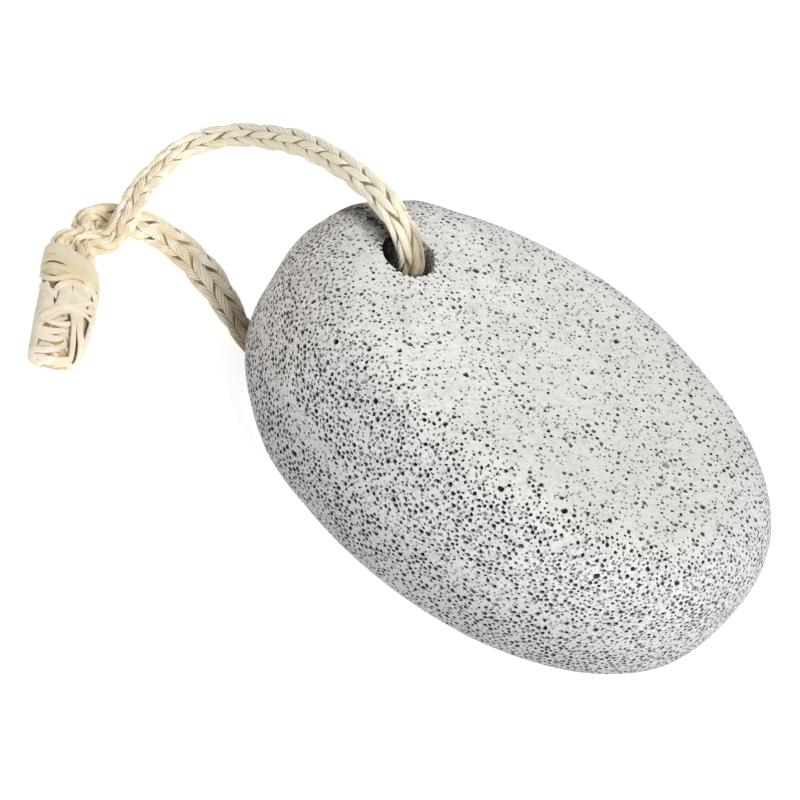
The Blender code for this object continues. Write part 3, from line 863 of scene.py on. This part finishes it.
def channel_cutter(name, line, finish):
    """A fat closed tube round part of the cord's route, modelled as a curve."""
    curve = bpy.data.curves.new(name, "CURVE")
    curve.dimensions = "3D"
    curve.bevel_depth = CHANNEL_RADIUS
    curve.bevel_resolution = 6
    curve.use_fill_caps = True
    spline = curve.splines.new("POLY")
    points = line[::6]
    spline.points.add(len(points) - 1)
    for target, point in zip(spline.points, points):
        target.co = (*point, 1.0)
    cutter = bpy.data.objects.new(name, curve)
    bpy.context.scene.collection.objects.link(cutter)
    pick_only(cutter)
    bpy.ops.object.convert(target="MESH")
    cutter.data.materials.append(finish)
    give_values(cutter, "bubble_painted_shade", np.full(len(cutter.data.polygons), CHANNEL_DARK), "FACE")
    return cutter


def cut_away(target, cutter):
    cut = target.modifiers.new(cutter.name, "BOOLEAN")
    cut.operation = "DIFFERENCE"
    cut.solver = "EXACT"
    cut.object = cutter
    pick_only(target)
    bpy.ops.object.modifier_apply(modifier=cut.name)
    bpy.data.objects.remove(cutter, do_unlink=True)


def paint_cord_shadow(stone):
    """Paints the cord's shadow onto the faces near the line along which the cord runs over the stone."""
    layer = stone.data.attributes["bubble_painted_shade"]
    count = len(stone.data.polygons)
    painted_shade = np.zeros(count, dtype=np.float32)
    layer.data.foreach_get("value", painted_shade)
    centres = np.zeros(count * 3, dtype=np.float32)
    stone.data.polygons.foreach_get("center", centres)
    centres = centres.reshape(-1, 3)
    line = smooth_marks(CORD_SHADOW_LINE, 24) * MM
    away = np.min(np.linalg.norm(centres[:, None, :] - line[None, :, :], axis=2), axis=1)
    near = eased(np.clip(1.0 - away / CORD_SHADOW_REACH, 0.0, 1.0))
    for index in np.nonzero(near)[0]:
        near[index] *= 0.85 + 0.5 * noise.noise(Vector(centres[index].tolist()) / (1.3 * MM))
    layer.data.foreach_set("value", np.clip(painted_shade + (1.0 - painted_shade) * near * CORD_SHADOW_DARK, 0.0, 1.0))


# Braid

def yarn_section(yarns, squareness):
    """A flat strand seen from its end: shares across its top, the round of each yarn and of the whole
    there, then shares across its plain underside and the height there."""
    share = np.linspace(-1.0, 1.0, yarns * YARN_STEPS + 1)
    yarn = (share + 1.0) / 2.0 * yarns
    lobe = np.sqrt(np.maximum(1.0 - (2.0 * (yarn - np.floor(yarn)) - 1.0) ** 2, 0.0))
    edge = np.sqrt(np.maximum(1.0 - np.abs(share) ** squareness, 0.0))
    under = np.linspace(1.0, -1.0, 6)[1:-1]
    return share, lobe, edge, under, -np.sqrt(1.0 - np.abs(under) ** squareness)


def braided_cord(line, finish):
    """Eight flat strands of parallel yarns round the route, four turning each way, over one and under
    one. Seen from outside, the over-passes make eight columns, slanting by turns to either side."""
    lengths = run_lengths(line)
    whole = lengths[-1]
    fine = np.linspace(0.0, whole, ROUTE_SAMPLES)
    centre = along_line(line, lengths, fine)
    along = unit(np.gradient(centre, axis=0))
    towards_viewer = (np.array(CAMERA_PLACE) - np.array(CAMERA_AIM)) * MM
    facing = unit(towards_viewer - along * (along @ towards_viewer)[:, None])
    across = np.cross(along, facing)
    stitch = from_table(STITCH_LENGTHS, 1, fine, MM)
    turned = np.concatenate([[0.0], np.cumsum(math.pi / 2.0 / stitch[1:] * np.diff(fine))])
    start_columns = from_table(COLUMN_TURNS, 1, fine, math.radians(1.0))

    ring_at = np.linspace(0.0, whole, round(whole / BRAID_RING_SPACING))
    rings = len(ring_at)
    share, lobe, edge, under, beneath = yarn_section(STRAND_YARNS, 4.0)
    section_across = np.concatenate([share, under])
    groove = YARN_GROOVE * from_table(YARN_LINES, 1, ring_at)[:, None]
    yarns = 1.0 - groove + groove * lobe
    beneath = np.broadcast_to(beneath, (rings, len(under)))
    section_height = np.concatenate([edge * yarns * (1.0 - STRAND_CROWN * share ** 2), beneath], axis=1)
    section_lift = np.concatenate([(yarns - 1.0 + groove.max()) / groove.max() * edge, 0.0 * beneath], axis=1)
    around = len(section_across)

    half = from_table(CORD_SHAPE, 1, ring_at, MM / 2.0)
    phase = np.interp(ring_at, fine, turned)
    rate = math.pi / 2.0 / np.interp(ring_at, fine, stitch) * (1.0 - 4.0 * STRAIGHTENING)
    slant = np.arctan(half * rate)
    dice = random.Random(SEED + 2)
    places, faces, runs, lifts = [], [], [], []
    for way in (1.0, -1.0):
        for strand in range(4):
            base = len(places) * rings * around
            wander = np.array([
                noise.noise(Vector((at / WANDER_EVERY, strand * 9.1, way * 4.7))) for at in ring_at
            ])
            width = from_table(CORD_SHAPE, 2, ring_at, MM)
            width = width * (1.0 + WIDTH_WANDER * wander) * STRAND_SHARES[0 if way > 0.0 else 1]
            sideways = section_across[None, :] * width[:, None] / 2.0
            angle = (way * phase - STRAIGHTENING * np.sin(4.0 * phase) + TURN_WANDER * wander)[:, None]
            angle = angle + strand * math.pi / 2.0 + sideways * (np.cos(slant) / half)[:, None]
            at = ring_at[:, None] - way * sideways * np.sin(slant)[:, None]
            at = np.clip(at, 0.0, whole)
            layer = way * np.tanh(COLUMN_STEEPNESS * np.cos(4.0 * angle)) / math.tanh(COLUMN_STEEPNESS)
            out = (half - STRAND_THICKNESS)[:, None] + layer * STRAND_THICKNESS / 2.0
            out = out + section_height * STRAND_THICKNESS / 2.0
            turn = angle + np.interp(at, fine, start_columns)
            up = unit(along_line(facing, fine, at))
            side = unit(along_line(across, fine, at))
            offset = (up * np.cos(turn)[..., None] + side * np.sin(turn)[..., None]) * out[..., None]
            offset[..., 2] *= from_table(CORD_SHAPE, 3, at)
            place = along_line(centre, fine, at) + offset
            place[..., 2] = np.maximum(place[..., 2], STRAND_ABOVE_TABLE)
            places.append(place.reshape(-1, 3))
            runs.append(np.stack([
                np.repeat(ring_at / MM, around) + dice.uniform(0.0, 500.0),
                np.tile((section_across + 1.0) * STRAND_YARNS / 2.0, rings),
            ], axis=1))
            # Painted shade: lower strands and the grooves between yarns darker, and more so in the hole and
            # by the stone
            lift = (layer * 0.5 + 0.5) * LAYER_LIFT + (LEAST_LIFT + YARN_LIFT * section_lift)
            lift = lift * from_table(CORD_UNSHADED, 1, at - CORD_SHADE_SKEW * np.sin(turn))
            lifts.append(lift.reshape(-1))
            faces += tube_faces(base, rings, around, True)
    # The filling, which closes the gaps between strands; its lift is nought, so it is painted wholly in shade
    base = len(places) * rings * around
    core_turn = np.linspace(0.0, math.tau, CORE_SIDES, endpoint=False)
    core_out = (half * CORE_SHARE)[:, None, None]
    up, side = (unit(along_line(axes, fine, ring_at))[:, None, :] for axes in (facing, across))
    cosine, sine = (wave(core_turn)[None, :, None] for wave in (np.cos, np.sin))
    offset = (up * cosine + side * sine) * core_out
    offset[..., 2] *= from_table(CORD_SHAPE, 3, ring_at)[:, None]
    place = along_line(centre, fine, ring_at)[:, None, :] + offset
    place[..., 2] = np.maximum(place[..., 2], CORE_ABOVE_TABLE)
    places.append(place.reshape(-1, 3))
    runs.append(np.stack([np.repeat(ring_at / MM, CORE_SIDES), np.tile(core_turn * 2.0, rings)], axis=1))
    lifts.append(np.zeros(rings * CORE_SIDES))
    faces += tube_faces(base, rings, CORE_SIDES, True)
    cord = piece_from("braided_cord", np.concatenate(places), faces, finish)
    give_values(cord, "lift", np.concatenate(lifts))
    give_run(cord, np.concatenate(runs))
    return cord


# Binding and frayed ends

def end_body(t, angle, lift):
    """A point on the soft body under the winding: t millimetres from the top of the binding, round it by
    angle in degrees, from the outer leg over the top, and raised by lift millimetres."""
    along, across, up = (np.array(axis) for axis in binding_axes())
    share = np.clip((t - ENDS_START) / ENDS_LENGTH, 0.0, 1.0)
    over = np.clip((t - TIP_START) / TIP_ROUND, 0.0, 1.0) * math.pi / 2.0
    swell = 1.0 + 0.02 * share - 0.27 * share ** 3
    flat = 1.0 - 0.10 * np.clip((t - ENDS_START + 1.0) / 1.0, 0.0, 1.0) + 0.10 * share - 0.40 * share ** 3
    tip = np.cos(over) ** 0.5
    half_width = (BINDING_HALF_WIDTH * swell + lift) * tip
    half_height = (BINDING_HALF_HEIGHT * flat + lift) * tip
    cosine, sine = np.cos(np.radians(angle)), np.sin(np.radians(angle))
    x = half_width * np.sign(cosine) * np.abs(cosine) ** OVAL_FULLNESS
    z = half_height * np.sign(sine) * np.abs(sine) ** OVAL_FULLNESS
    longer = ENDS_LONGER * np.clip((t - 17.0) / 7.0, 0.0, 1.0)
    far = np.minimum(t, TIP_START) + TIP_DEPTH * np.sin(over) + longer
    aside = ENDS_DRIFT * share ** 1.8 + x
    start = np.array(BINDING_TOP) + along * BODY_SET_BACK
    point = start + far[..., None] * along + aside[..., None] * across + z[..., None] * up
    point[..., 2] = np.maximum(point[..., 2], 0.08)
    return point * MM


def body_normal(t, angle):
    """The way out of the soft body at a point of it."""
    step_t = end_body(t + 0.05, angle, 0.0) - end_body(t - 0.05, angle, 0.0)
    step_a = end_body(t, angle + 0.5, 0.0) - end_body(t, angle - 0.5, 0.0)
    return unit(np.cross(step_t, step_a))


class YarnWork:
    """Gathers flat strands of parallel yarns into one mesh."""

    def __init__(self):
        self.places, self.faces, self.runs, self.lifts, self.pales = [], [], [], [], []
        self.count = 0

    def add(self, places, rings, around, runs, lifts, pale):
        self.places.append(places)
        self.faces += tube_faces(self.count, rings, around, False)
        self.count += rings * around
        self.runs.append(runs)
        self.lifts.append(lifts)
        self.pales.append(np.full(rings * around, pale))

    def strand(self, marks, width, thickness, yarns, pale=0.0, groove=0.28, tuck=0.8, wander=0.12):
        """Lays a strand through marks of (t, angle, lift); its ends narrow and tuck under by tuck."""
        seed = len(self.places) * 3.7
        rough = smooth_marks(marks, 60)
        line = end_body(rough[:, 0], rough[:, 1], rough[:, 2])
        length = run_lengths(line)[-1] / MM
        rings = max(int(length / STRAND_RING_SPACING), 6)
        marks = smooth_marks(marks, rings)
        share = np.linspace(0.0, 1.0, rings)
        near_end = np.clip(np.minimum(share, 1.0 - share) * length / END_NARROWS_OVER, 0.0, 1.0)
        shift = np.array([
            [noise.noise(Vector((s * length / SHIFT_EVERY, seed, axis * 7.3))) for axis in range(3)]
            for s in share
        ])
        t = marks[:, 0] + shift[:, 0] * wander * 2.0
        lift = marks[:, 2] + shift[:, 1] * wander - tuck * (1.0 - near_end) ** 2
        middle = end_body(t, marks[:, 1], lift)
        along = unit(np.gradient(middle, axis=0))
        normal = body_normal(t, marks[:, 1])
        normal = unit(normal - along * (normal * along).sum(axis=1)[:, None])
        side = np.cross(along, normal)
        wide = width * (1.0 + 0.25 * shift[:, 2]) * (0.35 + 0.65 * near_end) * MM
        steps, lobe, edge, under, beneath = yarn_section(yarns, 3.0)
        section_across = np.concatenate([steps, under])
        section_out = np.concatenate([edge * (1.0 - groove + groove * lobe), beneath])
        section_lift = np.concatenate([
            (1.0 - groove) * (0.4 + 0.6 * edge) + groove * lobe * edge, np.zeros(len(under))])
        around = len(section_across)
        out = section_out[None, :] * thickness / 2.0 * MM
        place = (
            middle[:, None, :] + side[:, None, :] * (section_across[None, :] * wide[:, None] / 2.0)[..., None]
            + normal[:, None, :] * out[..., None]
        )
        place[..., 2] = np.maximum(place[..., 2], 0.03 * MM)
        runs = np.stack([
            np.repeat(share * length, around) + seed * 13.0,
            np.tile((section_across + 1.0) * yarns / 2.0, rings),
        ], axis=1)
        # Painted shade: lower strands and their tucked-under ends are darker
        height = np.clip((lift + 0.9) / 1.4, 0.0, 1.0)
        lifts = (section_lift[None, :] * (0.35 + 0.65 * height[:, None])).reshape(-1)
        self.add(place.reshape(-1, 3), rings, around, runs, lifts, pale)

    def body(self, first, last, lift, lift_value, rings=30, around=44):
        """The dense mass of cord inside, seen only between the strands."""
        t = np.repeat(np.linspace(first, last, rings), around)
        angle = np.tile(np.linspace(0.0, 360.0, around, endpoint=False), rings)
        rough = np.array([
            noise.noise(Vector((a * 0.9, b / 9.0, 2.0))) for a, b in zip(t, angle)
        ])
        runs = np.stack([t, angle / 10.0], axis=1)
        # Painted shade: the mass inside takes the deep colour through its low lift
        self.add(end_body(t, angle, lift + 0.25 * rough), rings, around, runs, lift_value + 0.15 * rough, 0.0)

    def piece(self, name, finish):
        made = piece_from(name, np.concatenate(self.places), self.faces, finish)
        give_values(made, "lift", np.concatenate(self.lifts))
        give_values(made, "pale", np.concatenate(self.pales))
        give_run(made, np.concatenate(self.runs))
        bm = bmesh.new()
        bm.from_mesh(made.data)
        bmesh.ops.recalc_face_normals(bm, faces=bm.faces)
        bm.to_mesh(made.data)
        bm.free()
        pick_only(made)
        bpy.ops.object.shade_smooth_by_angle(angle=math.radians(60.0))
        return made


def wound_binding(finish):
    """Flat yarn wound aslant round both legs, a broad smooth turn at the top and finer ones below."""
    work = YarnWork()
    work.body(0.8, 9.6, -0.55, 0.25)
    for middle, tilt, bulge, width, lift, yarns, pale, groove in WINDING_TURNS:
        marks = [
            (middle - tilt * math.cos(math.radians(angle)) + bulge * math.sin(math.radians(2.0 * angle)),
             angle, lift)
            for angle in np.arange(-170.0, 215.0, 15.0)
        ]
        work.strand(marks, width, 0.75, yarns, pale, groove)
    for marks, width, yarns, pale in BINDING_STRANDS:
        work.strand(marks, width, 0.7, yarns, pale)
    return work.piece("wound_binding", finish)


def frayed_ends(finish):
    """The cord's ends, opened into flat loops of yarn folded over each other, with hollows between."""
    work = YarnWork()
    work.body(8.6, TIP_START + TIP_ROUND - 0.1, -0.45, 0.06)
    for marks, width, yarns, pale in FRAYED_STRANDS:
        work.strand(marks, width, 0.65, yarns, pale)
    dice = random.Random(SEED + 4)
    # Short ends that half fill the hollows
    for _ in range(HOLLOW_ENDS):
        t = dice.uniform(15.5, 25.5)
        angle = dice.uniform(20.0, 140.0)
        slant = dice.choice((-1.0, 1.0)) * dice.uniform(0.5, 2.2)
        marks = [
            (t + slant * step, angle + 20.0 * step, dice.uniform(-0.45, -0.2)) for step in (-1.0, 0.0, 1.0)
        ]
        work.strand(marks, dice.uniform(0.7, 1.3), 0.5, 2, dice.uniform(0.0, 0.5))
    # Plain strands over the back
    for index in range(BACK_STRANDS):
        angle = BACK_FROM + index * BACK_STEP
        marks = [
            (t, angle + dice.uniform(-9.0, 9.0), dice.uniform(-0.15, 0.2))
            for t in np.arange(8.8, TIP_START + TIP_ROUND - 0.4, 2.6)
        ]
        work.strand(marks, dice.uniform(1.3, 1.9), 0.65, 4, dice.uniform(0.0, 0.4))
    return work.piece("frayed_ends", finish)


# The scene

def make_camera():
    place = Vector(CAMERA_PLACE) * MM
    looking = Vector(CAMERA_AIM) * MM - place
    bpy.ops.object.camera_add(location=place)
    camera = bpy.context.object
    camera.rotation_mode = "QUATERNION"
    roll = Quaternion((0.0, 0.0, 1.0), math.radians(CAMERA_ROLL))
    camera.rotation_quaternion = looking.to_track_quat("-Z", "Y") @ roll
    camera.data.sensor_width = CAMERA_SENSOR
    camera.data.lens = CAMERA_LENS
    camera.data.clip_start = 0.01
    bpy.context.scene.camera = camera


def soft_light(name, place, aim, size, power, colour):
    bpy.ops.object.light_add(type="AREA", location=place)
    light = bpy.context.object
    light.name = name
    light.rotation_mode = "QUATERNION"
    light.rotation_quaternion = (Vector(aim) - Vector(place)).to_track_quat("-Z", "Y")
    light.data.shape = "DISK"
    light.data.size = size
    light.data.energy = power
    light.data.color = colour[:3]


def make_surroundings():
    bpy.ops.mesh.primitive_plane_add(size=6.0, location=(0.0, 0.0, 0.0))
    table = bpy.context.object
    table.name = "pale_table"
    table.data.materials.append(table_finish())
    sky = bpy.data.worlds.new("studio")
    bpy.context.scene.world = sky
    sky.use_nodes = True
    sky.node_tree.nodes["Background"].inputs["Color"].default_value = linear("#F2F4F8")
    sky.node_tree.nodes["Background"].inputs["Strength"].default_value = WORLD_STRENGTH
    soft_light("softbox_right", (0.36, -0.30, 0.60), (0.0, 0.0, 0.0), 0.30, KEY_POWER, linear("#FFFDF8"))
    soft_light("fill_above", (-0.05, 0.30, 0.75), (-0.03, 0.0, 0.01), 0.6, FILL_POWER, linear("#F4F6FF"))
    bpy.context.scene.view_settings.view_transform = "Standard"
    bpy.context.scene.view_settings.look = "None"


make_camera()
pumice = pumice_finish()
cotton = cotton_finish("cotton_braid_unbleached", "#FFFBEA", "#FDF3D9", "#7C6A42", 260.0)
yarn = cotton_finish("cotton_yarn_wound", "#EAE0C6", "#DFD3AE", "#AB8E5C", 320.0)
frayed = cotton_finish("cotton_yarn_opened", "#F6F0DC", "#EBE0BC", "#C08C48", 320.0)

route = route_points(
    reversed(leg_end(-1.0)), LEG_OVER_THE_STONE, LEG_IN_THE_HOLE, LEG_UNDER_THE_STONE, leg_end(1.0)
)
cord = braided_cord(route, cotton)
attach(cord, "root")
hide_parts("hanging_cord")

stone = porous_stone(pumice)
over = route_points(LEG_OVER_THE_STONE[-6:], LEG_IN_THE_HOLE[:1])
under = route_points(LEG_IN_THE_HOLE[-1:], LEG_UNDER_THE_STONE[:5])
cut_away(stone, hole_cutter(pumice))
cut_away(stone, channel_cutter("top_channel", over, pumice))
cut_away(stone, channel_cutter("under_channel", under, pumice))
pick_only(stone)
bpy.ops.object.shade_smooth_by_angle(angle=math.radians(32.0))
paint_cord_shadow(stone)
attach(stone, "root")
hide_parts("pumice_stone")

binding = wound_binding(yarn)
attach(binding, "root")
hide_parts("cord_binding")

ends = frayed_ends(frayed)
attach(ends, "root")
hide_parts("frayed_cord_ends")

make_surroundings()
